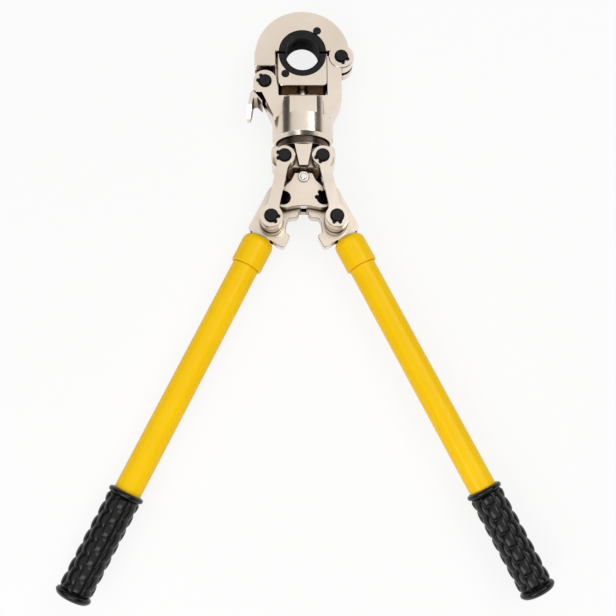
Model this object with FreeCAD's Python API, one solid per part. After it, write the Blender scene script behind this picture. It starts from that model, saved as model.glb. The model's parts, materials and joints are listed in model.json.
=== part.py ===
import FreeCAD, Part
import math
import os

# Two-handled toggle crimping tool with a flip-open jaw, in millimetres.
# Frame: the origin is the centre of the crimping bore on the mid-plane, +Y runs from the
# handles to the head, +X to the right hinge and +Z out of the front face.
# Everything is drawn in the half-open rest pose, with the handles spread.

V = FreeCAD.Vector

# ---- clearances ----------------------------------------------------------------------
RUN = 0.05            # radial clearance of a pin that turns in its hole
SLIDE = 0.2           # side clearance of the sliding die holder
GAP = 0.3             # axial gap between plates that pass each other
FAR = 60.0            # reach of a cut that goes right through

# ---- head ----------------------------------------------------------------------------
HEAD_HALF = 15.5      # half the thickness of the jaw and the frame arms
BORE_R = 18.0         # crimping bore of the closed dies
DIE_R = 25.4          # outside of the die ring
DIE_SEAT = 0.05       # clearance of a die in its seat
DIE_GAP = 2.4         # opening between the two dies at rest
DIE_LIP = 2.0         # thickness of the lip behind each die
DIE_STEP = 0.8        # the die is this much smaller where it passes the lip
PARTING = 0.6         # the jaw's dies part this far above the bore's centre
JAW_R = 50.5          # outside of the C-shaped jaw
JAW_DROP = 3.1        # the jaw's outer arc is centred this far below the bore
JAW_LEFT = 51.3       # flat left side of the jaw, from the bore centre
JAW_FOOT = -16.0      # bottom of the jaw's left end
HINGE = (41.5, -4.9)  # jaw hinge
HINGE_EAR_R = 13.6
TONGUE_WALL = 3.5     # round the hinge pin, in the tongue between the jaw's ears
TONGUE_HALF = 2.7
HOLDER_SIDE = 0.8     # least wall of the sliding die holder beside its die
HOLDER_FOOT = -38.7
CHANNEL_FOOT = -50.0  # floor of the channel that the holder slides in
SEAM = 2.7            # recess between the holder and the jaw's left end
SEAM_WEB = 6.5        # half the thickness of the frame's wall behind that recess
ARM_RIGHT = 41.5
ARM_TOP = -2.0        # top of the right arm, below the jaw
SHOULDER_R = 46.0     # turned shoulder that runs the arms into the barrel
SHOULDER_TOP = -46.0
SHOULDER_FOOT = -77.0
RIB = 2.5             # guide rib of the die holder, in the right arm
RIB_HALF = 3.0
BUTTON_R = 4.3
BUTTON_OUT = 3.8      # from the die's outside to the middle of its lock button
BUTTON_TRAVEL = 2.5
BUTTON_PROUD = 0.8
BUTTON_LOW = 4.0      # underside of a lock button
BUTTON_FLOOR = -4.0   # bottom of its bore

# ---- latch ---------------------------------------------------------------------------
LATCH = (-40.2, -33.4)  # latch pin
LOBE_R = 12.3           # frame round the latch pin
LATCH_WALL = 3.0        # round the pin, in the lever's eye
LATCH_HALF = 3.6        # half the thickness of the latch web
CATCH = (-37.6, -8.6)   # catch pin, in the jaw
CATCH_R = 2.5
TAB_HALF = 14.0         # half the width of the latch's thumb tab
TIP_HALF = 5.0          # half its width at the tip
TAB_TOP = -43.0
HOLLOW_TOP = -51.4      # top of the tab's hollow for the fingertip
TAB_TIP = -72.6
TAB_RIGHT = -43.0

# ---- barrel and swivel ---------------------------------------------------------------
BARREL_R = 32.5
BARREL_FOOT = -99.6
BARREL_CHAMFER = 3.4
BOSS_TOP = -54.8
BOSS_HALF = 20.5
FLAT_Z = 29.3
FLAT_FOOT = -75.0
NECK_R = 24.0
NECK_TOP = -86.0
RING_Y = -92.0        # middle of the snap ring that holds the swivel
RING_T = 2.4

# ---- ram -----------------------------------------------------------------------------
ROD_R = 5.4
ROD_TOP = -30.0       # the rod's tip, inside the die holder
STEM_R = 10.0
STEM_TOP = -60.0

# ---- toggle linkage ------------------------------------------------------------------
YOKE_HALF_X = 33.4
YOKE_HALF_Z = 17.4
YOKE_TOP = -107.6
YOKE_FOOT = -131.7
WEDGE_TOP_HALF = 9.2            # half the wedge between the link eyes, at its wide end
WEDGE_FOOT_HALF = 4.3           # and at its narrow end
TOP_PIVOT = (19.6, -122.2)     # link to yoke, right side
RAM_PIVOT = (20.65, -163.5)    # handle to centre plates, right side
LINK_PIVOT_U = 26.8            # link to handle, along the handle from the ram pivot
LINK_PIVOT_V = 0.8
HANDLE_ANGLE = 26.8            # each handle from the tool's axis at rest
PIN_R = 6.0
OPEN_PIVOT = 2.1               # radial room round the link pin in the handle plate
PLATE_HALF = 6.0               # half the thickness of a handle plate
CENTRE_T = 9.5                 # thickness of a centre plate
LINK_T = 11.5
LINK_TOP_R = 11.0
LINK_FOOT_R = 12.0
LINK_WAIST = 11.6
CLIP_T = 0.9
CLIP_OUT = 1.1                 # a retaining ring's edge, outside its pin
CLIP_IN = 0.5                  # its inner edge, inside the pin's surface
CLIP_PLAY = 0.05               # each side of a ring in its groove
LUG_R = 1.75
LUG_HOLE_R = 0.6
LUG_SPREAD = 25.0              # degrees from the ring's opening to a lug
RING_MOUTH = 1.5               # half the ring's opening
PIN_PROUD = 1.2                # from the clip to the end of its pin
PIVOT_PROUD = 0.5              # the same at the handle pivots, which the links pass over
BOLT_Y = -141.2                # bolt through the ram's tang and the centre plates
BOLT_R = 3.0
TANG_HALF = 9.5                # half the width of the ram's tang
TANG_FOOT = -145.6

# ---- handles -------------------------------------------------------------------------
AXIS_V = 4.0          # handle axis, outwards from the ram pivot
TUBE_R = 14.0
TUBE_WALL = 2.2
TUBE_FOOT = 440.0
SOCKET_SKIN = 2.5     # wall of the socket round the tube
SOCKET_TOP = 45.0
SOCKET_LEN = 34.5
SOCKET_WALL = 7.0     # closed end of the socket
SOCKET_TANG = 10.0    # half the width of the handle plate's tang in the socket
SOCKET_ROUND = 9.0    # rounding of the socket's closed end
GRIP_LEN = 114.0
GRIP_END = 8.5        # closed end of the grip beyond the tube
GRIP_SKIN = 3.2       # wall of the grip round the tube
FLANGE_RISE = 1.2
FLANGE_T = 5.5

HOLDER_HALF = DIE_R + HOLDER_SIDE
JAW_INNER = HOLDER_HALF + SEAM
BUTTON_DIST = DIE_R + BUTTON_OUT
SOCKET_R = TUBE_R + SOCKET_SKIN
GRIP_R = TUBE_R + GRIP_SKIN
FLANGE_R = GRIP_R + FLANGE_RISE
GRIP_FOOT = TUBE_FOOT + GRIP_END
GRIP_TOP = GRIP_FOOT - GRIP_LEN
TANG_TOP = YOKE_FOOT - 2.6
HANDLE_EYE = RAM_PIVOT[0] - 0.35
CENTRE_IN = PLATE_HALF + GAP
CENTRE_OUT = CENTRE_IN + CENTRE_T
LINK_IN = YOKE_HALF_Z + GAP
LINK_OUT = LINK_IN + LINK_T
ANGLE = math.radians(HANDLE_ANGLE)


# ---- helpers -------------------------------------------------------------------------
def outline(corners):
    """Closed wire through (x, y, radius) corners, each rounded by its own radius."""
    points = [V(x, y, 0) for x, y, r in corners]
    count = len(points)
    edges = []
    starts = []
    ends = []
    middles = []
    for i in range(count):
        here = points[i]
        radius = corners[i][2]
        back = points[i - 1].sub(here)
        ahead = points[(i + 1) % count].sub(here)
        back.normalize()
        ahead.normalize()
        if radius <= 0:
            starts.append(here)
            ends.append(here)
            middles.append(None)
            continue
        half = back.getAngle(ahead) / 2
        reach = radius / math.tan(half)
        bisector = back.add(ahead)
        bisector.normalize()
        centre = here.add(bisector.multiply(radius / math.sin(half)))
        inward = here.sub(centre)
        inward.normalize()
        starts.append(here.add(V(back).multiply(reach)))
        ends.append(here.add(V(ahead).multiply(reach)))
        middles.append(centre.add(inward.multiply(radius)))
    for i in range(count):
        if middles[i] is not None:
            edges.append(Part.Arc(starts[i], middles[i], ends[i]).toShape())
        following = starts[(i + 1) % count]
        if ends[i].distanceToPoint(following) > 1e-6:
            edges.append(Part.LineSegment(ends[i], following).toShape())
    return Part.Wire(edges)


def plate(corners, low, high):
    """Flat plate with the given outline, from height low to high."""
    face = Part.Face(outline(corners))
    solid = face.extrude(V(0, 0, high - low))
    solid.translate(V(0, 0, low))
    return solid


def disc(x, y, radius, low, high):
    """Upright cylinder about the line x, y."""
    return Part.makeCylinder(radius, high - low, V(x, y, low), V(0, 0, 1))


def block(x0, x1, y0, y1, z0, z1):
    return Part.makeBox(x1 - x0, y1 - y0, z1 - z0, V(x0, y0, z0))


def shaft(radius, low, high):
    """Cylinder along the tool's axis, from y = low to high."""
    return Part.makeCylinder(radius, high - low, V(0, low, 0), V(0, 1, 0))


def cone(r_low, r_high, low, high):
    return Part.makeCone(r_low, r_high, high - low, V(0, low, 0), V(0, 1, 0))


def through(x, y, radius):
    """Cutter for an upright hole right through."""
    return disc(x, y, radius, -FAR, FAR)


def ring(x, y, outer, inner, low, high):
    return disc(x, y, outer, low, high).cut(through(x, y, inner))


def soften(shape, radius, pick):
    """Round the edges that pick accepts."""
    edges = [e for e in shape.Edges if pick(e)]
    return shape.makeFillet(radius, edges)


def level(edge, z):
    """True for an edge that lies wholly at height z."""
    box = edge.BoundBox
    return abs(box.ZMin - z) < 1e-4 and abs(box.ZMax - z) < 1e-4


def both_faces(shape, size, half):
    """Chamfer the outline of a plate on its front and back."""
    edges = [e for e in shape.Edges if level(e, half) or level(e, -half)]
    return shape.makeChamfer(size, edges)


def mirrored(shape):
    return shape.mirror(V(0, 0, 0), V(1, 0, 0))


def flipped(shape):
    """The same piece on the back of the tool."""
    return shape.mirror(V(0, 0, 0), V(0, 0, 1))


def group(shapes):
    return Part.makeCompound(shapes)


def on_handle(shape):
    """Move a shape drawn along +X from the ram pivot onto the right handle."""
    matrix = FreeCAD.Matrix(
        math.sin(ANGLE), math.cos(ANGLE), 0, RAM_PIVOT[0],
        -math.cos(ANGLE), math.sin(ANGLE), 0, RAM_PIVOT[1],
        0, 0, 1, 0,
        0, 0, 0, 1)
    return shape.transformed(matrix)


def handle_point(u, v):
    x = RAM_PIVOT[0] + u * math.sin(ANGLE) + v * math.cos(ANGLE)
    y = RAM_PIVOT[1] - u * math.cos(ANGLE) + v * math.sin(ANGLE)
    return (x, y)


LINK_PIVOT = handle_point(LINK_PIVOT_U, LINK_PIVOT_V)


def pin(x, y, half, proud=PIN_PROUD, radius=PIN_R):
    """Headless pin with a clip groove near each end; half is the plate face it passes."""
    end = half + 2 * CLIP_PLAY + CLIP_T + proud
    body = disc(x, y, radius, -end, end)
    body = body.makeChamfer(0.4, [e for e in body.Edges if level(e, end) or level(e, -end)])
    for side in (-1, 1):
        low = side * (half + CLIP_PLAY)
        high = side * (half + 3 * CLIP_PLAY + CLIP_T)
        groove = ring(x, y, radius + 1, radius - CLIP_IN - CLIP_PLAY, min(low, high), max(low, high))
        body = body.cut(groove)
    return body


def circlip(x, y, half, lug_angle, radius=PIN_R):
    """Retaining ring with two drilled lugs beside its opening."""
    low = half + 2 * CLIP_PLAY
    high = low + CLIP_T
    outer = radius + CLIP_OUT
    lug_dist = outer + 0.35
    body = disc(x, y, outer, low, high)
    holes = []
    for side in (-1, 1):
        a = math.radians(lug_angle + side * LUG_SPREAD)
        lug_x = x + lug_dist * math.cos(a)
        lug_y = y + lug_dist * math.sin(a)
        body = body.fuse(disc(lug_x, lug_y, LUG_R, low, high))
        holes.append(through(lug_x, lug_y, LUG_HOLE_R))
    for hole in holes:
        body = body.cut(hole)
    body = body.cut(through(x, y, radius - CLIP_IN))
    slot = block(0, outer + 2 * LUG_R + 1, -RING_MOUTH, RING_MOUTH, low - 1, high + 1)
    slot.rotate(V(0, 0, 0), V(0, 0, 1), lug_angle)
    slot.translate(V(x, y, 0))
    return body.cut(slot).removeSplitter()


def clip_pair(x, y, half, lug_angle):
    front = circlip(x, y, half, lug_angle)
    return [front, flipped(front)]


def coil(x, y, radius, wire, low, high, turns):
    """Round-wire compression spring standing on height low."""
    pitch = (high - low - wire) / turns
    helix = Part.makeLongHelix(pitch, high - low - wire, radius)
    slope = pitch / (2 * math.pi * radius)
    profile = Part.Wire(Part.makeCircle(wire / 2, V(radius, 0, 0), V(0, 1, slope)))
    solid = Part.Wire(helix).makePipeShell([profile], True, True)
    solid.translate(V(x, y, low + wire / 2))
    return solid


# ---- head frame ----------------------------------------------------------------------
def frame_arms(wall):
    """Both arms of the frame, each side of the channel, with the turned shoulder below them."""
    lobe_left = LATCH[0] - LOBE_R
    lobe_right = LATCH[0] + LOBE_R
    lobe_top = LATCH[1] + LOBE_R
    waist = SHOULDER_FOOT - 7.0
    corners = [
        (-wall, CHANNEL_FOOT, 2.0), (-wall, LATCH[1] - 8.0, 3.0), (lobe_right, LATCH[1], 4.0),
        (lobe_right, lobe_top, LOBE_R - 0.1), (lobe_left, lobe_top, LOBE_R - 0.1),
        (lobe_left, LATCH[1] - 9.5, 1.5), (-38.0, -57.6, 1.5), (-38.0, -67.2, 4.0), (-34.6, -76.5, 2.0),
        (-BARREL_R + 2.0, waist, 0), (BARREL_R - 2.0, waist, 0), (BARREL_R - 0.5, SHOULDER_FOOT, 2.0),
        (ARM_RIGHT - 2.3, -67.0, 8.0), (ARM_RIGHT, -52.0, 20.0), (ARM_RIGHT, ARM_TOP, 1.0),
        (wall, ARM_TOP, 0.5), (wall, CHANNEL_FOOT, 2.0)]
    arms = plate(corners, -HEAD_HALF, HEAD_HALF)
    turned = cone(BARREL_R, SHOULDER_R, SHOULDER_FOOT, SHOULDER_TOP)
    turned = turned.fuse(shaft(FAR, SHOULDER_TOP, FAR)).fuse(shaft(BARREL_R, waist - 1, SHOULDER_FOOT))
    arms = arms.common(turned)
    # the left wall of the channel goes on up behind the seam
    web = block(-wall - SEAM + SLIDE + 0.4, -wall, CHANNEL_FOOT, ARM_TOP - 1.0, -SEAM_WEB, SEAM_WEB)
    return arms.fuse(web)


def head_frame():
    wall = HOLDER_HALF + SLIDE
    arms = frame_arms(wall)
    # room for the jaw's ears, leaving a tongue between them
    clear_r = HINGE_EAR_R + 0.12
    for low, high in ((TONGUE_HALF, FAR), (-FAR, -TONGUE_HALF)):
        arms = arms.cut(disc(HINGE[0], HINGE[1], clear_r, low, high))
    trim = block(0, ARM_RIGHT + 1, HINGE[1], 0, -FAR, FAR)
    arms = arms.cut(trim)
    tongue = disc(HINGE[0], HINGE[1], PIN_R + TONGUE_WALL, -TONGUE_HALF, TONGUE_HALF)
    arms = arms.fuse(tongue)
    barrel = shaft(BARREL_R, FLAT_FOOT, BOSS_TOP)
    barrel = barrel.common(block(-BOSS_HALF, BOSS_HALF, FLAT_FOOT - 1, BOSS_TOP + 1, -FLAT_Z, FLAT_Z))
    barrel = soften(barrel, 2.0, lambda e: abs(e.BoundBox.YMin - BOSS_TOP) < 1e-4)
    skirt = shaft(BARREL_R, BARREL_FOOT + BARREL_CHAMFER, FLAT_FOOT)
    rim = cone(BARREL_R - BARREL_CHAMFER, BARREL_R, BARREL_FOOT, BARREL_FOOT + BARREL_CHAMFER)
    body = arms.fuse(barrel).fuse(skirt).fuse(rim).removeSplitter()
    # bore for the ram, then the counterbore and groove of the swivel
    body = body.cut(shaft(ROD_R + 0.4, STEM_TOP, CHANNEL_FOOT + 1))
    body = body.cut(shaft(STEM_R + RUN, YOKE_FOOT, STEM_TOP + 3.0))
    body = body.cut(shaft(NECK_R + RUN, YOKE_FOOT, NECK_TOP + 0.4))
    body = body.cut(shaft(NECK_R + 2.0, RING_Y - RING_T / 2 - 0.1, RING_Y + RING_T / 2 + 0.1))
    # the channel runs right through between the arms
    body = body.cut(block(-wall, wall, CHANNEL_FOOT + 2, 0, -FAR, FAR))
    # guide groove for the rib of the die holder
    groove = block(wall - 0.5, HOLDER_HALF + RIB + SLIDE, CHANNEL_FOOT + 2, -16.0,
                   -RIB_HALF - SLIDE, RIB_HALF + SLIDE)
    body = body.cut(groove)
    # slot for the latch web through the lobe, open to the left
    slot_right = LATCH[0] + PIN_R + LATCH_WALL + 1.1
    slot = plate([(-FAR, 0, 0), (-FAR, -62, 0), (-39.5, -62, 0), (-35.5, -54, 0),
                  (slot_right, LATCH[1] - 11.5, 0), (slot_right, 0, 0)],
                 -LATCH_HALF - GAP, LATCH_HALF + GAP)
    body = body.cut(slot)
    body = body.cut(through(LATCH[0], LATCH[1], PIN_R))
    return body.cut(through(HINGE[0], HINGE[1], PIN_R))


# ---- jaw -----------------------------------------------------------------------------
def die_seat(y):
    """The round seat of a die with its thin lip at the back."""
    seat = disc(0, y, DIE_R + DIE_SEAT, -HEAD_HALF + DIE_LIP, FAR)
    return seat.fuse(through(0, y, DIE_R - DIE_STEP + DIE_SEAT))


def button_place(y, angle):
    a = math.radians(angle)
    return (BUTTON_DIST * math.cos(a), y + BUTTON_DIST * math.sin(a))


UPPER_BUTTON = button_place(0, 57.0)
LOWER_BUTTON = button_place(-DIE_GAP, 231.0)


def button_bore(place):
    return disc(place[0], place[1], BUTTON_R + RUN, BUTTON_FLOOR, FAR)


def upper_jaw():
    body = disc(0, -JAW_DROP, JAW_R, -HEAD_HALF, HEAD_HALF)
    keep = [(-JAW_LEFT, JAW_FOOT, 2.0), (-JAW_INNER, JAW_FOOT, 1.0), (-JAW_INNER, 1.0, 0.5),
            (FAR, 1.0, 0), (FAR, FAR, 0), (-JAW_LEFT, FAR, 0)]
    body = body.common(plate(keep, -HEAD_HALF, HEAD_HALF))
    left = [(-JAW_LEFT, JAW_FOOT, 2.0), (-JAW_INNER, JAW_FOOT, 1.0), (-JAW_INNER, 4.0, 0),
            (-JAW_LEFT + 1.2, 4.0, 0), (-JAW_LEFT, 0.0, 8.0)]
    body = body.fuse(plate(left, -HEAD_HALF, HEAD_HALF))
    ear = disc(HINGE[0], HINGE[1], HINGE_EAR_R, -HEAD_HALF, HEAD_HALF)
    body = body.fuse(ear).removeSplitter()
    body = both_faces(body, 0.8, HEAD_HALF)
    body = body.cut(die_seat(0))
    # everything below the parting line is the frame's, apart from the ear and the left end
    below = block(-JAW_INNER, HINGE[0] - HINGE_EAR_R + 0.6, -FAR, PARTING, -FAR, FAR)
    body = body.cut(below)
    # slots: for the frame's tongue on the right and for the latch hook on the left
    tongue_slot = disc(HINGE[0], HINGE[1], HINGE_EAR_R + 2.0, -TONGUE_HALF - GAP, TONGUE_HALF + GAP)
    tongue_slot = tongue_slot.cut(through(0, 0, DIE_R + 2.2))
    body = body.cut(tongue_slot)
    hook_slot = block(-FAR, -JAW_INNER - 2.5, -FAR, 6.0, -LATCH_HALF - GAP, LATCH_HALF + GAP)
    body = body.cut(hook_slot)
    body = body.cut(disc(CATCH[0], CATCH[1], CATCH_R, -HEAD_HALF + 3.0, HEAD_HALF - 3.0))
    body = body.cut(through(HINGE[0], HINGE[1], PIN_R + RUN))
    return body.cut(button_bore(UPPER_BUTTON))


def catch_pin():
    half = HEAD_HALF - 3.2
    return disc(CATCH[0], CATCH[1], CATCH_R, -half, half)


def die(y, upper, place):
    """Half ring with a chamfered bore and a notch for its lock button."""
    body = disc(0, y, DIE_R, -HEAD_HALF + DIE_LIP, HEAD_HALF - 0.2)
    body = body.fuse(disc(0, y, DIE_R - DIE_STEP, -HEAD_HALF + 0.2, -HEAD_HALF + DIE_LIP))
    body = body.cut(through(0, y, BORE_R))
    for side in (-1, 1):
        mouth = Part.makeCone(BORE_R, BORE_R + 2.0, 1.0, V(0, y, side * (HEAD_HALF - 1.2)), V(0, 0, side))
        body = body.cut(mouth)
    cut = y + PARTING
    low, high = (cut, FAR) if upper else (-FAR, cut)
    body = body.common(block(-FAR, FAR, low, high, -FAR, FAR))
    notch_foot = BUTTON_LOW - BUTTON_TRAVEL - 0.1
    return body.cut(disc(place[0], place[1], BUTTON_R + RUN, notch_foot, FAR)).removeSplitter()


def lock_button(place):
    high = HEAD_HALF + BUTTON_PROUD
    body = disc(place[0], place[1], BUTTON_R, BUTTON_LOW, high)
    body = soften(body, 0.7, lambda e: level(e, high))
    return body.cut(disc(place[0], place[1], 2.9, BUTTON_LOW - 1, BUTTON_LOW + 1.5))


def button_spring(place):
    return coil(place[0], place[1], 2.2, 0.7, BUTTON_FLOOR + 0.05, BUTTON_LOW + 1.45, 4)


# ---- die holder ----------------------------------------------------------------------
def die_holder():
    top = -DIE_GAP + PARTING
    corners = [(-HOLDER_HALF, top, 0), (-HOLDER_HALF, HOLDER_FOOT, 5.0),
               (HOLDER_HALF, HOLDER_FOOT, 5.0), (HOLDER_HALF, top, 0)]
    body = plate(corners, -HEAD_HALF, HEAD_HALF)
    body = both_faces(body, 0.6, HEAD_HALF)
    body = body.cut(die_seat(-DIE_GAP))
    rib = block(HOLDER_HALF - 1.0, HOLDER_HALF + RIB, HOLDER_FOOT + 5.2, -26.0, -RIB_HALF, RIB_HALF)
    body = body.fuse(rib)
    body = body.cut(shaft(ROD_R + RUN, -FAR, ROD_TOP + 0.1))
    body = body.cut(button_bore(LOWER_BUTTON))
    return body.removeSplitter()


# ---- latch ---------------------------------------------------------------------------
def tab_taper():
    """Body of the tab's width: full at the top, narrow at the tip."""
    bend = HOLLOW_TOP - 8.0
    points = [V(-FAR, TAB_TOP + 1, -TAB_HALF), V(-FAR, bend, -TAB_HALF), V(-FAR, TAB_TIP, -TIP_HALF),
              V(-FAR, TAB_TIP, TIP_HALF), V(-FAR, bend, TAB_HALF), V(-FAR, TAB_TOP + 1, TAB_HALF)]
    face = Part.Face(Part.makePolygon(points + points[:1]))
    return face.extrude(V(FAR, 0, 0))


def latch_lever():
    x, y = LATCH
    nose_x = CATCH[0] - CATCH_R - 0.3
    eye = disc(x, y, PIN_R + LATCH_WALL, -LATCH_HALF, LATCH_HALF)
    hook = plate([(x - 9.0, y, 0), (x + 8.6, y + 2.0, 0), (x + 6.8, y + 12.2, 2.5),
                  (x - 2.4, y + 18.0, 1.5), (nose_x - 3.0, CATCH[1] + 3.0, 1.0),
                  (nose_x, CATCH[1] + 3.0, 0.6), (nose_x, CATCH[1] + 7.2, 2.5),
                  (nose_x - 7.1, CATCH[1] + 10.2, 4.0), (x - 9.4, y + 24.4, 6.0)], -LATCH_HALF, LATCH_HALF)
    neck = plate([(x - 10.3, y + 1.0, 0), (x + 6.7, y - 5.0, 0), (x - 2.8, TAB_TOP - 1.0, 0.5),
                  (-48.0, HOLLOW_TOP + 1.0, 0), (-54.8, HOLLOW_TOP, 0), (-53.6, TAB_TOP, 0)],
                 -LATCH_HALF, LATCH_HALF)
    # the thumb tab: full width, with a hollow for the fingertip
    tab = plate([(-53.2, TAB_TOP, 0.8), (TAB_RIGHT, HOLLOW_TOP - 4.3, 0.5),
                 (TAB_RIGHT, HOLLOW_TOP - 6.0, 0.5), (-48.0, HOLLOW_TOP, 2.5), (-53.0, HOLLOW_TOP, 3.0),
                 (-54.2, HOLLOW_TOP - 10.6, 6.0), (-56.0, TAB_TIP, 1.2), (-59.6, TAB_TIP + 0.4, 1.2),
                 (-58.8, HOLLOW_TOP - 10.6, 10.0), (-55.6, TAB_TOP - 3.0, 4.0)], -TAB_HALF, TAB_HALF)
    tab = tab.common(tab_taper())
    body = eye.fuse(hook).fuse(neck).fuse(tab).removeSplitter()
    body = body.cut(disc(x, y, PIN_R + 2.2, 0, FAR))
    return body.cut(through(x, y, PIN_R + RUN))


def latch_spring():
    return coil(LATCH[0], LATCH[1], PIN_R + 1.4, 0.8, 0.05, LATCH_HALF - 0.05, 2)


# ---- swivel --------------------------------------------------------------------------
def snap_ring():
    body = shaft(NECK_R + 1.9, RING_Y - RING_T / 2, RING_Y + RING_T / 2)
    body = body.cut(shaft(NECK_R - 1.4, YOKE_TOP, 0))
    return body.cut(block(-2.5, 2.5, YOKE_TOP, 0, 0, FAR))


def thrust_washer():
    body = shaft(BARREL_R - BARREL_CHAMFER - 2.2, YOKE_TOP, BARREL_FOOT - 0.2)
    return body.cut(shaft(NECK_R + 0.2, YOKE_TOP - 1, 0))


# ---- yoke ----------------------------------------------------------------------------
def yoke():
    corners = [(-YOKE_HALF_X, YOKE_TOP, 5.0), (-YOKE_HALF_X, YOKE_FOOT, 11.0),
               (YOKE_HALF_X, YOKE_FOOT, 11.0), (YOKE_HALF_X, YOKE_TOP, 5.0)]
    body = plate(corners, -YOKE_HALF_Z, YOKE_HALF_Z)
    body = both_faces(body, 0.8, YOKE_HALF_Z)
    # the wedge between the link eyes, on the front and the back
    wedge = plate([(-WEDGE_TOP_HALF, YOKE_TOP, 0.5), (-WEDGE_FOOT_HALF, YOKE_FOOT + 0.5, 0.5),
                   (WEDGE_FOOT_HALF, YOKE_FOOT + 0.5, 0.5), (WEDGE_TOP_HALF, YOKE_TOP, 0.5)],
                  -LINK_OUT + 4.0, LINK_OUT - 4.0)
    for side in (-1, 1):
        wedge = wedge.cut(through(side * TOP_PIVOT[0], TOP_PIVOT[1], LINK_TOP_R + 0.5))
    body = body.fuse(wedge)
    body = body.fuse(shaft(NECK_R, YOKE_TOP - 1, NECK_TOP)).removeSplitter()
    groove = shaft(NECK_R + 2, RING_Y - RING_T / 2 - 0.1, RING_Y + RING_T / 2 + 0.1)
    groove = groove.cut(shaft(NECK_R - 1.5, YOKE_TOP, 0))
    body = body.cut(groove)
    body = body.cut(shaft(STEM_R + RUN, YOKE_FOOT - 1, 0))
    for side in (-1, 1):
        body = body.cut(through(side * TOP_PIVOT[0], TOP_PIVOT[1], PIN_R))
    return body


# ---- ram and centre plates -----------------------------------------------------------
def ram():
    body = shaft(STEM_R, TANG_TOP - 0.5, STEM_TOP)
    body = body.makeChamfer(1.0, [e for e in body.Edges if abs(e.BoundBox.YMin - STEM_TOP) < 1e-4])
    rod = shaft(ROD_R, STEM_TOP - 1, ROD_TOP)
    tang = plate([(-TANG_HALF, TANG_TOP, 0), (-TANG_HALF, TANG_FOOT, 3.0), (TANG_HALF, TANG_FOOT, 3.0),
                  (TANG_HALF, TANG_TOP, 0)], -CENTRE_IN, CENTRE_IN)
    body = body.fuse(rod).fuse(tang).removeSplitter()
    for side in (-1, 1):
        body = body.cut(through(side * RAM_PIVOT[0], RAM_PIVOT[1], HANDLE_EYE + 0.6))
    return body.cut(through(0, BOLT_Y, BOLT_R))


def centre_plate():
    """Front plate that carries both handle pivots below the ram."""
    px, py = RAM_PIVOT
    eye = PIN_R + 3.8
    right = [(px - 3.0, py - 11.3, 1.5), (px + eye, py - 9.5, 7.5), (px + eye - 1.5, py + 2.5, 7.0),
             (TANG_HALF + 3.1, BOLT_Y - 2.8, 6.0), (TANG_HALF - 0.3, BOLT_Y + 4.8, 1.0)]
    left = [(-x, y, r) for x, y, r in reversed(right)]
    body = plate(left + [(0, py - 6.8, 60.0)] + right, CENTRE_IN, CENTRE_OUT)
    front = [e for e in body.Edges if level(e, CENTRE_OUT)]
    body = body.makeChamfer(0.6, front)
    for side in (-1, 1):
        body = body.cut(through(side * px, py, PIN_R))
    return body.cut(through(0, BOLT_Y, BOLT_R))


def hexagon(x, y, across, low, high):
    side = across / math.sqrt(3)
    corners = []
    for k in range(6):
        a = math.radians(60 * k + 30)
        corners.append((x + side * math.cos(a), y + side * math.sin(a), 0.3))
    return plate(corners, low, high)


def centre_bolt():
    head = disc(0, BOLT_Y, 5.2, CENTRE_OUT, CENTRE_OUT + 2.2)
    cap = disc(0, BOLT_Y, 3.3, CENTRE_OUT + 2.2, CENTRE_OUT + 4.4)
    cap = soften(cap, 1.0, lambda e: level(e, CENTRE_OUT + 4.4))
    stem = disc(0, BOLT_Y, BOLT_R - 0.02, -CENTRE_OUT - 6.5, CENTRE_OUT)
    return stem.fuse(head).fuse(cap).removeSplitter()


def centre_nut():
    body = hexagon(0, BOLT_Y, 10.0, -CENTRE_OUT - 5.6, -CENTRE_OUT)
    return body.cut(through(0, BOLT_Y, BOLT_R))


# ---- links ---------------------------------------------------------------------------
def link():
    """Front right link, from the yoke to the handle plate."""
    top = V(TOP_PIVOT[0], TOP_PIVOT[1], 0)
    foot = V(LINK_PIVOT[0], LINK_PIVOT[1], 0)
    along = foot.sub(top)
    length = along.Length
    angle = math.degrees(math.atan2(along.y, along.x))
    half = LINK_WAIST / 2
    bar = block(0, length, -half, half, LINK_IN, LINK_OUT)
    bar.rotate(V(0, 0, 0), V(0, 0, 1), angle)
    bar.translate(V(top.x, top.y, 0))
    eyes = disc(top.x, top.y, LINK_TOP_R, LINK_IN, LINK_OUT)
    eyes = eyes.fuse(disc(foot.x, foot.y, LINK_FOOT_R, LINK_IN, LINK_OUT))
    body = bar.fuse(eyes).removeSplitter()

    def inner_corner(edge):
        box = edge.BoundBox
        upright = box.ZLength > LINK_T - 0.1 and box.XLength < 1e-3 and box.YLength < 1e-3
        if not upright:
            return False
        spot = V(box.XMin, box.YMin, 0)
        return abs(spot.distanceToPoint(top) - LINK_TOP_R) < 0.01 \
            or abs(spot.distanceToPoint(foot) - LINK_FOOT_R) < 0.01
    body = soften(body, 8.0, inner_corner)
    faces = [e for e in body.Edges if level(e, LINK_OUT)]
    body = body.makeChamfer(0.6, faces)
    body = body.cut(through(top.x, top.y, PIN_R + RUN))
    return body.cut(through(foot.x, foot.y, PIN_R))


def link_spacers():
    x, y = LINK_PIVOT
    wide = disc(x, y, LINK_FOOT_R - 0.4, PLATE_HALF + GAP, LINK_IN - 3.2)
    slim = disc(x, y, LINK_FOOT_R - 1.4, LINK_IN - 3.2, LINK_IN)
    body = wide.fuse(slim).cut(through(x, y, PIN_R)).removeSplitter()
    return group([body, flipped(body)])


# ---- handles -------------------------------------------------------------------------
def socket_tang(low):
    """End of the handle plate that is let into the socket's closed end."""
    return block(low, SOCKET_TOP + SOCKET_WALL - 0.5, AXIS_V - SOCKET_TANG, AXIS_V + SOCKET_TANG,
                 -PLATE_HALF, PLATE_HALF)


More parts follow.
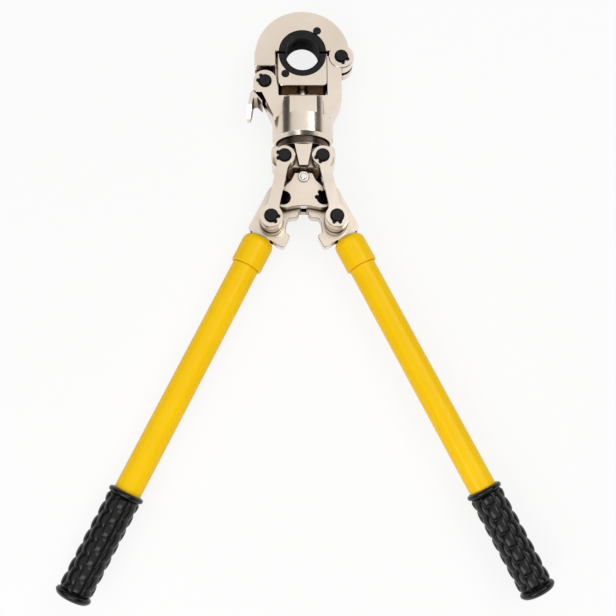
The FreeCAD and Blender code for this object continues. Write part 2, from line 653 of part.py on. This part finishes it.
def handle_plate():
    outer_v = AXIS_V + SOCKET_R - 0.5
    inner_v = AXIS_V - SOCKET_R - 0.6
    web = [(0, outer_v, 0), (42.0, outer_v, 2.0), (SOCKET_TOP, outer_v - 4.0, 1.0),
           (SOCKET_TOP, inner_v, 0.4), (SOCKET_TOP + 1.0, inner_v - 0.5, 0.8), (SOCKET_TOP + 1.0, -22.9, 3.0),
           (31.0, -23.1, 3.0), (30.0, -16.6, 2.0), (20.0, -13.2, 4.0), (15.2, -13.2, 2.0),
           (11.0, -20.0, 1.5), (5.6, -20.7, 1.5), (0, -16.0, 0)]
    body = plate(web, -PLATE_HALF, PLATE_HALF)
    body = body.fuse(disc(0, 0, HANDLE_EYE, -PLATE_HALF, PLATE_HALF))
    body = both_faces(body.removeSplitter(), 0.6, PLATE_HALF)
    body = body.fuse(socket_tang(SOCKET_TOP - 4))
    body = body.cut(through(0, 0, PIN_R + RUN))
    return body.cut(through(LINK_PIVOT_U, LINK_PIVOT_V, PIN_R + OPEN_PIVOT))


def along(radius, low, high):
    """Cylinder along the handle axis."""
    return Part.makeCylinder(radius, high - low, V(low, AXIS_V, 0), V(1, 0, 0))


def socket():
    body = along(SOCKET_R, SOCKET_TOP, SOCKET_TOP + SOCKET_LEN)
    body = soften(body, SOCKET_ROUND, lambda e: abs(e.BoundBox.XMax - SOCKET_TOP) < 1e-4)
    body = soften(body, 1.0, lambda e: abs(e.BoundBox.XMin - SOCKET_TOP - SOCKET_LEN) < 1e-4)
    body = body.cut(along(TUBE_R, SOCKET_TOP + SOCKET_WALL, TUBE_FOOT))
    return body.cut(socket_tang(SOCKET_TOP - 1))


def tube():
    low = SOCKET_TOP + SOCKET_WALL + 0.2
    body = along(TUBE_R, low, TUBE_FOOT)
    return body.cut(along(TUBE_R - TUBE_WALL, low - 1, TUBE_FOOT + 1))


def grip():
    body = along(GRIP_R, GRIP_TOP + FLANGE_T, GRIP_FOOT - FLANGE_T)
    body = body.fuse(along(FLANGE_R, GRIP_TOP, GRIP_TOP + FLANGE_T))
    lower = along(FLANGE_R, GRIP_FOOT - 2 * FLANGE_T, GRIP_FOOT)
    lower = soften(lower, 4.0, lambda e: abs(e.BoundBox.XMin - GRIP_FOOT) < 1e-4)
    body = body.fuse(lower).removeSplitter()
    return body.cut(along(TUBE_R, GRIP_TOP - 1, TUBE_FOOT + 0.2))


# ---- write the nodes -----------------------------------------------------------------
os.makedirs("parts", exist_ok=True)
nodes = {}

nodes["head_frame"] = head_frame()
nodes["upper_jaw"] = upper_jaw()
nodes["upper_die"] = die(0, True, UPPER_BUTTON)
nodes["lower_die"] = die(-DIE_GAP, False, LOWER_BUTTON)
nodes["die_holder"] = die_holder()
nodes["upper_lock_button"] = lock_button(UPPER_BUTTON)
nodes["lower_lock_button"] = lock_button(LOWER_BUTTON)
nodes["upper_button_spring"] = button_spring(UPPER_BUTTON)
nodes["lower_button_spring"] = button_spring(LOWER_BUTTON)
nodes["jaw_hinge_pin"] = pin(HINGE[0], HINGE[1], HEAD_HALF)
nodes["jaw_hinge_circlips"] = group(clip_pair(HINGE[0], HINGE[1], HEAD_HALF, -50))
nodes["latch_pin"] = pin(LATCH[0], LATCH[1], HEAD_HALF)
nodes["latch_pin_circlips"] = group(clip_pair(LATCH[0], LATCH[1], HEAD_HALF, 150))
nodes["latch_lever"] = latch_lever()
nodes["latch_spring"] = latch_spring()
nodes["latch_catch_pin"] = catch_pin()
nodes["swivel_snap_ring"] = snap_ring()
nodes["swivel_thrust_washer"] = thrust_washer()
nodes["yoke"] = yoke()
nodes["ram"] = ram()
nodes["front_centre_plate"] = centre_plate()
nodes["rear_centre_plate"] = flipped(centre_plate())
nodes["centre_bolt"] = centre_bolt()
nodes["centre_nut"] = centre_nut()

yoke_lugs = {-1: 180, 1: 225}
pivot_lugs = {-1: 190, 1: 150}
yoke_pins = []
yoke_clips = []
pivot_pins = []
pivot_clips = []
for side in (-1, 1):
    yoke_pins.append(pin(side * TOP_PIVOT[0], TOP_PIVOT[1], LINK_OUT))
    yoke_clips += clip_pair(side * TOP_PIVOT[0], TOP_PIVOT[1], LINK_OUT, yoke_lugs[side])
    pivot_pins.append(pin(side * RAM_PIVOT[0], RAM_PIVOT[1], CENTRE_OUT, PIVOT_PROUD))
    pivot_clips += clip_pair(side * RAM_PIVOT[0], RAM_PIVOT[1], CENTRE_OUT, pivot_lugs[side])
nodes["yoke_pins"] = group(yoke_pins)
nodes["yoke_pin_circlips"] = group(yoke_clips)
nodes["handle_pivot_pins"] = group(pivot_pins)
nodes["handle_pivot_circlips"] = group(pivot_clips)

right_link = link()
link_lugs = {"left": -30, "right": 270}
hand = {
    "link": right_link,
    "spacers": link_spacers(),
    "pin": pin(LINK_PIVOT[0], LINK_PIVOT[1], LINK_OUT),
    "plate": on_handle(handle_plate()),
    "socket": on_handle(socket()),
    "tube": on_handle(tube()),
    "grip": on_handle(grip())}
for name in ("left", "right"):
    side = -1 if name == "left" else 1
    part = {}
    for key, shape in hand.items():
        part[key] = mirrored(shape) if side < 0 else shape
    nodes[name + "_front_link"] = part["link"]
    nodes[name + "_rear_link"] = flipped(part["link"])
    nodes[name + "_link_spacers"] = part["spacers"]
    nodes[name + "_link_pin"] = part["pin"]
    clips = clip_pair(side * LINK_PIVOT[0], LINK_PIVOT[1], LINK_OUT, link_lugs[name])
    nodes[name + "_link_pin_circlips"] = group(clips)
    nodes[name + "_handle_plate"] = part["plate"]
    nodes[name + "_socket"] = part["socket"]
    nodes[name + "_tube"] = part["tube"]
    nodes[name + "_grip"] = part["grip"]

for name, shape in nodes.items():
    for solid in shape.Solids:
        if not solid.isValid():
            print("not valid:", name)
    shape.exportStep("parts/" + name + ".step")
    print(name, len(shape.Solids), round(shape.Volume))
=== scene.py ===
"""Looks of the crimping tool: materials, modelled grips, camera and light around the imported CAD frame."""
import json
import math

import bmesh
import bpy
from mathutils import Matrix, Vector


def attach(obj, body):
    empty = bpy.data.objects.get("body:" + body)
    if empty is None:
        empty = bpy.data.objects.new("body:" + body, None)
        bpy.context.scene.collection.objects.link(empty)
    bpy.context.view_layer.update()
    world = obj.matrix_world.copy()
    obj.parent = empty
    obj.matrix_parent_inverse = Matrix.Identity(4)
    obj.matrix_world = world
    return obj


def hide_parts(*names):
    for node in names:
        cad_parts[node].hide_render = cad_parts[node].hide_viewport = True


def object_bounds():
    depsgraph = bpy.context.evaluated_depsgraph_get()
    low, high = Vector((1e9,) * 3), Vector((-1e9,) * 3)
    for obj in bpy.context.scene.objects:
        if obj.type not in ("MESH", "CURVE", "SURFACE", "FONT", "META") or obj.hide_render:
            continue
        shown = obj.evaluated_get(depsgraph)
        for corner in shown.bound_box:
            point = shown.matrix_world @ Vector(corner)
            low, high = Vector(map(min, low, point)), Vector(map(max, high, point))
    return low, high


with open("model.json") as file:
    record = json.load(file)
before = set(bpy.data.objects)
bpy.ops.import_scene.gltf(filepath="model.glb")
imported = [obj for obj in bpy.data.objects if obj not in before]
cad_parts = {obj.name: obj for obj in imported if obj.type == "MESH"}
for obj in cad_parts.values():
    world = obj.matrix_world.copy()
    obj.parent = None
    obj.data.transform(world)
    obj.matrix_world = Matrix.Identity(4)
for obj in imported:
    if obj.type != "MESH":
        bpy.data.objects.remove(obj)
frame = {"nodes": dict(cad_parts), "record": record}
cad_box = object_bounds()
scene = bpy.context.scene
MM = 0.001

# ---- camera: above the tool, a little towards the handle end ---------------------------
CAMERA_PLACE = Vector((-22.7, -472.4, 933.2)) * MM
CAMERA_TARGET = Vector((3.7, -276.9, 0.0)) * MM
CAMERA_ROLL = math.radians(-0.56)
LENS = 54.35
SENSOR = 36.0


def add_camera():
    data = bpy.data.cameras.new("camera")
    data.lens = LENS
    data.sensor_width = SENSOR
    data.clip_start = 0.01
    data.clip_end = 50.0
    camera = bpy.data.objects.new("camera", data)
    scene.collection.objects.link(camera)
    look = CAMERA_TARGET - CAMERA_PLACE
    right = look.cross(Vector((0, 1, 0))).normalized()
    up = right.cross(look).normalized()
    turn = Matrix.Rotation(CAMERA_ROLL, 3, -look.normalized())
    right = turn @ right
    up = turn @ up
    back = -look.normalized()
    basis = Matrix((right, up, back)).transposed().to_4x4()
    camera.matrix_world = Matrix.Translation(CAMERA_PLACE) @ basis
    scene.camera = camera


add_camera()
scene.view_settings.view_transform = "Standard"


# ---- node helpers ----------------------------------------------------------------------
class Nodes:
    """Short way to build a node material."""

    def __init__(self, name):
        self.material = bpy.data.materials.new(name)
        self.material.use_nodes = True
        self.tree = self.material.node_tree
        self.shader = self.tree.nodes["Principled BSDF"]
        self.coords = self.add("ShaderNodeTexCoord").outputs["Object"]

    def add(self, kind, **values):
        node = self.tree.nodes.new(kind)
        for key, value in values.items():
            setattr(node, key, value)
        return node

    def link(self, a, b):
        self.tree.links.new(a, b)

    def noise(self, scale, detail=4.0, rough=0.55, distortion=0.0, stretch=None):
        node = self.add("ShaderNodeTexNoise")
        node.inputs["Scale"].default_value = scale
        node.inputs["Detail"].default_value = detail
        node.inputs["Roughness"].default_value = rough
        node.inputs["Distortion"].default_value = distortion
        if stretch:
            mapping = self.add("ShaderNodeMapping")
            mapping.inputs["Scale"].default_value = stretch
            self.link(self.coords, mapping.inputs["Vector"])
            self.link(mapping.outputs["Vector"], node.inputs["Vector"])
        else:
            self.link(self.coords, node.inputs["Vector"])
        return node.outputs["Fac"]

    def ramp(self, fac, stops):
        node = self.add("ShaderNodeValToRGB")
        elements = node.color_ramp.elements
        while len(elements) < len(stops):
            elements.new(0.5)
        for element, (place, colour) in zip(elements, stops):
            element.position = place
            element.color = (*colour, 1.0)
        self.link(fac, node.inputs["Fac"])
        return node.outputs["Color"]

    def spread(self, fac, low, high, start=0.3, end=0.7):
        node = self.add("ShaderNodeMapRange")
        node.inputs["From Min"].default_value = start
        node.inputs["From Max"].default_value = end
        node.inputs["To Min"].default_value = low
        node.inputs["To Max"].default_value = high
        self.link(fac, node.inputs["Value"])
        return node.outputs["Result"]

    def mix(self, fac, a, b, blend="MIX"):
        node = self.add("ShaderNodeMix", data_type="RGBA", blend_type=blend)
        if isinstance(fac, (int, float)):
            node.inputs["Factor"].default_value = fac
        else:
            self.link(fac, node.inputs["Factor"])
        for socket, value in (("A", a), ("B", b)):
            target = [s for s in node.inputs if s.name == socket and s.type == "RGBA"][0]
            if isinstance(value, tuple):
                target.default_value = (*value, 1.0)
            else:
                self.link(value, target)
        return [s for s in node.outputs if s.type == "RGBA"][0]

    def bump(self, height, strength, distance, normal=None):
        node = self.add("ShaderNodeBump")
        node.inputs["Strength"].default_value = strength
        node.inputs["Distance"].default_value = distance
        self.link(height, node.inputs["Height"])
        if normal is not None:
            self.link(normal, node.inputs["Normal"])
        return node.outputs["Normal"]

    def edges(self, radius):
        """1 on convex edges, 0 on flat ground, from the bevelled normal."""
        bevel = self.add("ShaderNodeBevel", samples=4)
        bevel.inputs["Radius"].default_value = radius
        plain = self.add("ShaderNodeNewGeometry").outputs["Normal"]
        dot = self.add("ShaderNodeVectorMath", operation="DOT_PRODUCT")
        self.link(bevel.outputs["Normal"], dot.inputs[0])
        self.link(plain, dot.inputs[1])
        return self.spread(dot.outputs["Value"], 1.0, 0.0, 0.88, 0.99)

    def recess(self, distance, low=0.35, high=0.85):
        """0 deep in a corner or slot, 1 on open ground."""
        node = self.add("ShaderNodeAmbientOcclusion", samples=8)
        node.inputs["Distance"].default_value = distance
        return self.spread(node.outputs["AO"], 0.0, 1.0, low, high)

    def set(self, **values):
        for key, value in values.items():
            socket = self.shader.inputs[key.replace("_", " ")]
            if isinstance(value, (int, float)):
                socket.default_value = value
            elif isinstance(value, tuple):
                socket.default_value = (*value, 1.0)
            else:
                self.link(value, socket)
        return self.material


# ---- materials: lengths in metres, noise scales per metre --------------------------------
WHITE = (1.0, 1.0, 1.0)
EDGE_WIDTH = 0.0009
# painted highlight, partly rubbed wear: convex metal edges are lightened towards this colour
EDGE_HIGHLIGHT_AND_WEAR_COLOUR = (0.94, 0.87, 0.79)
# painted shade: reach of the darkening towards brown in deep recesses
DEEP_SHADE_REACH = 0.045
# painted shade: colour of the dark lines along fine gaps between parts
GAP_SHADE_COLOUR = (0.08, 0.057, 0.042)
# grime and painted shade: the enamel is darkened in tight corners where parts meet
GRIME_AND_SHADE_REACH = 0.003
GRIME_AND_SHADE_COLOUR = (0.45, 0.30, 0.15)


def metal(name, low, high, brown, deep_span, gap_shade_reach):
    """Bright metal between two colours, with painted shade in its colour and reflection: darker towards
    brown in deep recesses and dark along fine gaps.
    """
    n = Nodes(name)
    colour = n.ramp(n.noise(16.0, 4.0, 0.55, 0.3), [(0.32, low), (0.68, high)])
    # painted highlight, partly rubbed wear: convex edges lightened towards the edge colour
    colour = n.mix(n.edges(EDGE_WIDTH), colour, EDGE_HIGHLIGHT_AND_WEAR_COLOUR)
    # painted shade: colour and reflection darkened towards brown in deep recesses
    middle = tuple(channel ** 0.6 for channel in brown)
    deep = n.ramp(n.recess(DEEP_SHADE_REACH, *deep_span), [(0.0, brown), (0.5, middle), (1.0, WHITE)])
    # painted shade: dark lines along fine gaps between parts
    near = n.ramp(n.recess(gap_shade_reach, 0.40, 0.86), [(0.0, GAP_SHADE_COLOUR), (1.0, WHITE)])
    # painted shade from both masks darkens the colour and the reflection
    painted_shade = n.mix(1.0, deep, near, "MULTIPLY")
    n.set(Base_Color=n.mix(1.0, colour, painted_shade, "MULTIPLY"), Specular_Tint=painted_shade, Metallic=1.0)
    return n


def plated_steel():
    """Satin nickel over a machined skin: warm and even, with a painted highlight along its edges that is
    partly rubbed wear.
    """
    n = metal("plated_steel", (0.76, 0.66, 0.555), (0.85, 0.755, 0.655), (0.17, 0.145, 0.125),
              (0.16, 0.56), 0.0028)
    normal = n.bump(n.noise(520.0, 3.0, 0.6), 0.06, 0.0003)
    normal = n.bump(n.noise(38.0, 2.0, 0.5), 0.10, 0.0010, normal)
    return n.set(Roughness=n.spread(n.noise(90.0, 4.0), 0.15, 0.24), Normal=normal)


def shade_dark_washer_steel():
    """Thrust washer: hard steel, kept dark brown as painted shade for the shadowed gap it sits in."""
    # painted shade: the washer's colours are held near black-brown
    n = metal("shade_dark_washer_steel", (0.065, 0.048, 0.038), (0.11, 0.083, 0.066), (0.10, 0.08, 0.065),
              (0.25, 0.60), 0.004)
    lines = n.noise(400.0, 3.0, 0.6, 0.0, (0.3, 1.0, 0.3))
    return n.set(Roughness=n.spread(lines, 0.22, 0.36), Normal=n.bump(lines, 0.15, 0.0003))


def bright_steel():
    """Ground steel with fine lines along the tool's axis."""
    n = metal("bright_steel", (0.80, 0.77, 0.72), (0.93, 0.91, 0.87), (0.75, 0.72, 0.68),
              (0.0, 0.3), 0.0015)
    lines = n.noise(900.0, 3.0, 0.6, 0.0, (1.0, 0.05, 1.0))
    return n.set(Roughness=n.spread(lines, 0.15, 0.30), Normal=n.bump(lines, 0.12, 0.0003))


def black_oxide():
    """Hardened steel blackened in the bath: deep, faintly blue, with a dry, speckled sheen."""
    n = Nodes("black_oxide")
    colour = n.ramp(n.noise(420.0, 4.0, 0.7), [(0.35, (0.003, 0.003, 0.003)), (0.72, (0.019, 0.020, 0.022))])
    # painted shade: in recesses the colour is darkened and the reflection turned down
    open_ground = n.recess(0.03, 0.66, 0.97)
    shade = n.ramp(open_ground, [(0.0, (0.12, 0.12, 0.12)), (1.0, WHITE)])
    colour = n.mix(1.0, colour, shade, "MULTIPLY")
    n.set(Specular_IOR_Level=n.spread(open_ground, 0.0, 0.20, 0.35, 1.0))
    normal = n.bump(n.noise(700.0, 3.0), 0.35, 0.0004)
    return n.set(Base_Color=colour, Roughness=n.spread(n.noise(300.0, 4.0), 0.30, 0.5), Normal=normal)


def yellow_enamel():
    """Thick glossy enamel with a faint orange peel."""
    n = Nodes("yellow_enamel")
    tone = n.ramp(n.noise(12.0, 3.0), [(0.3, (0.93, 0.565, 0.002)), (0.7, (0.98, 0.61, 0.004))])
    # grime and painted shade: enamel darkened in tight corners where parts meet
    grime_and_shade = n.ramp(n.recess(GRIME_AND_SHADE_REACH), [(0.0, GRIME_AND_SHADE_COLOUR), (1.0, WHITE)])
    tone = n.mix(1.0, tone, grime_and_shade, "MULTIPLY")
    rough = n.spread(n.noise(30.0, 2.0), 0.21, 0.27)
    normal = n.bump(n.noise(150.0, 1.0, 0.4), 0.03, 0.0004)
    n.set(Specular_IOR_Level=0.10, Coat_Weight=0.10, Coat_Roughness=0.05, IOR=1.45)
    return n.set(Base_Color=tone, Roughness=rough, Normal=normal)


def grip_rubber():
    """Moulded black rubber with a fine pebbled skin; its reflection is turned down in the valleys as painted
    shade, so it is glossy on the crests.
    """
    n = Nodes("grip_rubber")
    colour = n.ramp(n.noise(60.0, 5.0), [(0.3, (0.003, 0.003, 0.003)), (0.75, (0.007, 0.007, 0.007))])
    rough = n.spread(n.noise(500.0, 3.0), 0.16, 0.26)
    normal = n.bump(n.noise(900.0, 2.0, 0.5), 0.10, 0.0002)
    # painted shade: the reflection is turned down in the valleys between the pillows
    shine_dimmed_in_valleys = n.spread(n.recess(0.006, 0.45, 0.95), 0.0, 0.30, 0.0, 1.0)
    n.set(Specular_IOR_Level=shine_dimmed_in_valleys)
    return n.set(Base_Color=colour, Roughness=rough, Normal=normal, IOR=1.5)


MATERIALS = {
    "plated_steel": plated_steel(),
    "bright_steel": bright_steel(),
    "shade_dark_washer_steel": shade_dark_washer_steel(),
    "black_oxide": black_oxide(),
    "yellow_paint": yellow_enamel(),
    "grip_rubber": grip_rubber()}


def dress_cad_nodes():
    """Give every carried-over CAD node the material of its slot, and the washer a dark brown steel that
    stands in for the shade in its gap.
    """
    for row in frame["record"]["subparts"]:
        node = frame["nodes"][row["node"]]
        node.data.materials.clear()
        node.data.materials.append(MATERIALS[row["material_slot"]])
    washer = frame["nodes"]["swivel_thrust_washer"]
    # painted shade: the washer is kept dark for the shadowed gap it sits in
    washer.data.materials[0] = MATERIALS["shade_dark_washer_steel"]


dress_cad_nodes()

# ---- grips: millimetres along a handle from its pivot, or out from its axis --------------
HANDLE_ANGLE = math.radians(26.8)               # of a handle from the tool's axis, at rest
HANDLE_PIVOT = Vector((20.65, -163.5, 0.0)) * MM
AXIS_V = 4.0 * MM                               # handle axis, outwards from the pivot
BORE_R = 14.02                                  # bore for the tube, with a little room
BORE_END = 440.1
BORE_LIP = 1.2                                  # the bead's inner side begins this far in
GRIP_TOP = 334.6
GRIP_FOOT = 448.4
BEAD_R = 2.7
BEAD_TOP = 18.3
BEAD_FLOOR = BORE_R + 0.3
DOME_STEP = 0.3                                 # between the lower bead and the domed end
DOME_INSET = 0.5
DOME_RINGS = 11
VALLEY_R = 15.1
CREST = 1.95                                    # height of a pillow over the valley
FIRST_NOTCH = 351.0
ROW_PITCH = 14.75
ROWS = 6
LOBES = 8                                       # pillows round the grip
LOBE_PHASE = 0.15
FLATNESS = 2.4                                  # high for a flat pillow with steep sides
SHOULDER = 0.7
SIDE_VALLEY = 0.25                              # share of the height left between columns
SOFT_END = 3.0                                  # length over which the pillows fade at each end
BODY_TOP = GRIP_TOP + 2 * BEAD_R
BODY_FOOT = FIRST_NOTCH + ROWS * ROW_PITCH
BODY_RINGS = 150
AROUND = 20 * LOBES


def handle_matrix(side):
    """Takes (along the handle, outwards, up) in metres to the row frame, for side -1 or 1."""
    s = math.sin(HANDLE_ANGLE)
    c = math.cos(HANDLE_ANGLE)
    matrix = Matrix(((s, c, 0, HANDLE_PIVOT.x), (-c, s, 0, HANDLE_PIVOT.y), (0, 0, 1, 0), (0, 0, 0, 1)))
    return Matrix.Scale(side, 4, (1, 0, 0)) @ matrix


def pillow(u, turn):
    """Height of the moulded pillows at u along the grip and at an angle round it; every second column is
    half a row lower, like scales."""
    if u < BODY_TOP or u > BODY_FOOT:
        return 0.0
    place = (turn * LOBES / (2 * math.pi) + LOBE_PHASE) % LOBES
    column = int(place)
    lobe = place - column
    row = ((u - FIRST_NOTCH) / ROW_PITCH + 0.5 * (column % 2)) % 1.0
    along = 1.0 - abs(2 * row - 1) ** FLATNESS
    around = 1.0 - abs(2 * lobe - 1) ** FLATNESS
    end = min(1.0, (u - BODY_TOP) / SOFT_END, (BODY_FOOT - u) / SOFT_END)
    return CREST * end * along ** SHOULDER * (SIDE_VALLEY + (1 - SIDE_VALLEY) * around ** SHOULDER)


def bead(centre, start, step, count):
    """Points round a bead's cross-section, from start degrees downwards."""
    points = []
    for k in range(count):
        a = math.radians(start - step * k)
        radius = BEAD_TOP - BEAD_R + BEAD_R * math.sin(a)
        points.append((centre + BEAD_R * math.cos(a), max(radius, BEAD_FLOOR), False))
    return points


def grip_profile():
    """Points (along, radius, takes pillows) from the bore's blind end over both beads to the domed end."""
    points = [(BORE_END, 0.0, False), (BORE_END, BORE_R, False), (GRIP_TOP + BORE_LIP, BORE_R, False)]
    points += bead(GRIP_TOP + BEAD_R, 200, 20, 13)
    for k in range(BODY_RINGS + 1):
        points.append((BODY_TOP + (BODY_FOOT - BODY_TOP) * k / BODY_RINGS, VALLEY_R, True))
    points += bead(BODY_FOOT + BEAD_R, 170, 16, 9)
    dome_low = points[-1][0] + DOME_STEP
    dome_r = points[-1][1] - DOME_INSET
    for k in range(1, DOME_RINGS):
        a = math.radians(90 * k / DOME_RINGS)
        points.append((dome_low + (GRIP_FOOT - dome_low) * math.sin(a), dome_r * math.cos(a), False))
    points.append((GRIP_FOOT, 0.0, False))
    return points


def make_grip(name, side, body):
    """Turn the profile round the handle's axis and let the grip ride with its handle."""
    mesh = bmesh.new()
    rings = []
    for u, radius, pillows in grip_profile():
        if radius == 0.0:
            rings.append([mesh.verts.new((u * MM, AXIS_V, 0.0))])
            continue
        loop = []
        for k in range(AROUND):
            turn = 2 * math.pi * k / AROUND
            r = (radius + (pillow(u, turn) if pillows else 0.0)) * MM
            loop.append(mesh.verts.new((u * MM, AXIS_V + r * math.cos(turn), r * math.sin(turn))))
        rings.append(loop)
    for near, far in zip(rings, rings[1:]):
        for k in range(AROUND):
            after = (k + 1) % AROUND
            if len(near) == 1:
                mesh.faces.new((near[0], far[after], far[k]))
            elif len(far) == 1:
                mesh.faces.new((near[k], near[after], far[0]))
            else:
                mesh.faces.new((near[k], near[after], far[after], far[k]))
    bmesh.ops.transform(mesh, matrix=handle_matrix(side), verts=mesh.verts)
    bmesh.ops.recalc_face_normals(mesh, faces=mesh.faces)
    data = bpy.data.meshes.new(name)
    mesh.to_mesh(data)
    mesh.free()
    data.shade_smooth()
    data.materials.append(MATERIALS["grip_rubber"])
    piece = bpy.data.objects.new(name, data)
    scene.collection.objects.link(piece)
    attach(piece, body)
    return piece


for label, side in (("left", -1), ("right", 1)):
    grip = make_grip(label + "_moulded_grip", side, label + "_handle")
    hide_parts(label + "_grip")

# ---- floor, world and lamps ------------------------------------------------------------
FLOOR_DROP = 0.0006
FLOOR_SIZE = 12.0
FLOOR_GREY = 0.9
FLOOR_WHITE_SHARE = 0.84     # how much of the floor shows as plain white to camera and gloss; the rest
                             # is lit, and keeps the shadow
DOME_AXIS = (-0.07, 0.0, 0.997)
DOME_TINT = (1.0, 0.985, 0.965)
DOME_LEVELS = [(0.0, 0.95), (0.16, 0.90), (0.24, 0.10), (0.58, 0.06), (0.72, 0.85), (1.0, 1.0)]


def add_floor():
    low = cad_box[0][2] - FLOOR_DROP
    bpy.ops.mesh.primitive_plane_add(size=FLOOR_SIZE, location=(0, -0.25, low))
    floor = bpy.context.object
    floor.name = "floor"
    n = Nodes("floor")
    diffuse = n.add("ShaderNodeBsdfDiffuse")
    diffuse.inputs["Color"].default_value = (FLOOR_GREY, FLOOR_GREY, FLOOR_GREY, 1.0)
    glow = n.add("ShaderNodeEmission")
    glow.inputs["Strength"].default_value = 1.0
    mix = n.add("ShaderNodeMixShader")
    path = n.add("ShaderNodeLightPath")
    seen = n.add("ShaderNodeMath", operation="MAXIMUM")
    n.link(path.outputs["Is Camera Ray"], seen.inputs[0])
    n.link(path.outputs["Is Glossy Ray"], seen.inputs[1])
    share = n.add("ShaderNodeMath", operation="MULTIPLY")
    share.inputs[1].default_value = FLOOR_WHITE_SHARE
    n.link(seen.outputs[0], share.inputs[0])
    n.link(share.outputs[0], mix.inputs[0])
    n.link(diffuse.outputs[0], mix.inputs[1])
    n.link(glow.outputs[0], mix.inputs[2])
    n.link(mix.outputs[0], n.tree.nodes["Material Output"].inputs["Surface"])
    floor.data.materials.append(n.material)


def add_world():
    """Studio dome: bright overhead and lower on the left, a dark band of unlit room at mid height, and a
    white sweep from just over the horizon down."""
    world = bpy.data.worlds.new("world")
    world.use_nodes = True
    scene.world = world
    tree = world.node_tree
    background = tree.nodes["Background"]
    background.inputs["Strength"].default_value = 1.0
    direction = tree.nodes.new("ShaderNodeTexCoord")
    height = tree.nodes.new("ShaderNodeVectorMath")
    height.operation = "DOT_PRODUCT"
    height.inputs[1].default_value = DOME_AXIS
    ramp = tree.nodes.new("ShaderNodeValToRGB")
    tree.links.new(direction.outputs["Generated"], height.inputs[0])
    tree.links.new(height.outputs["Value"], ramp.inputs["Fac"])
    tree.links.new(ramp.outputs["Color"], background.inputs["Color"])
    elements = ramp.color_ramp.elements
    while len(elements) < len(DOME_LEVELS):
        elements.new(0.5)
    for element, (place, level) in zip(elements, DOME_LEVELS):
        element.position = place
        element.color = (*(level * tint for tint in DOME_TINT), 1.0)


def add_lamp(name, place, target, size, watts):
    data = bpy.data.lights.new(name, "AREA")
    data.shape = "RECTANGLE"
    data.size = size[0]
    data.size_y = size[1]
    data.energy = watts
    lamp = bpy.data.objects.new(name, data)
    lamp.location = place
    lamp.rotation_euler = (Vector(target) - Vector(place)).to_track_quat("-Z", "Y").to_euler()
    scene.collection.objects.link(lamp)


add_floor()
add_world()
add_lamp("key", (-0.55, -1.3, 1.0), (0, -0.3, 0), (0.9, 0.9), 8.5)
add_lamp("fill", (0.8, 0.1, 1.4), (0, -0.2, 0), (0.9, 0.9), 5.8)
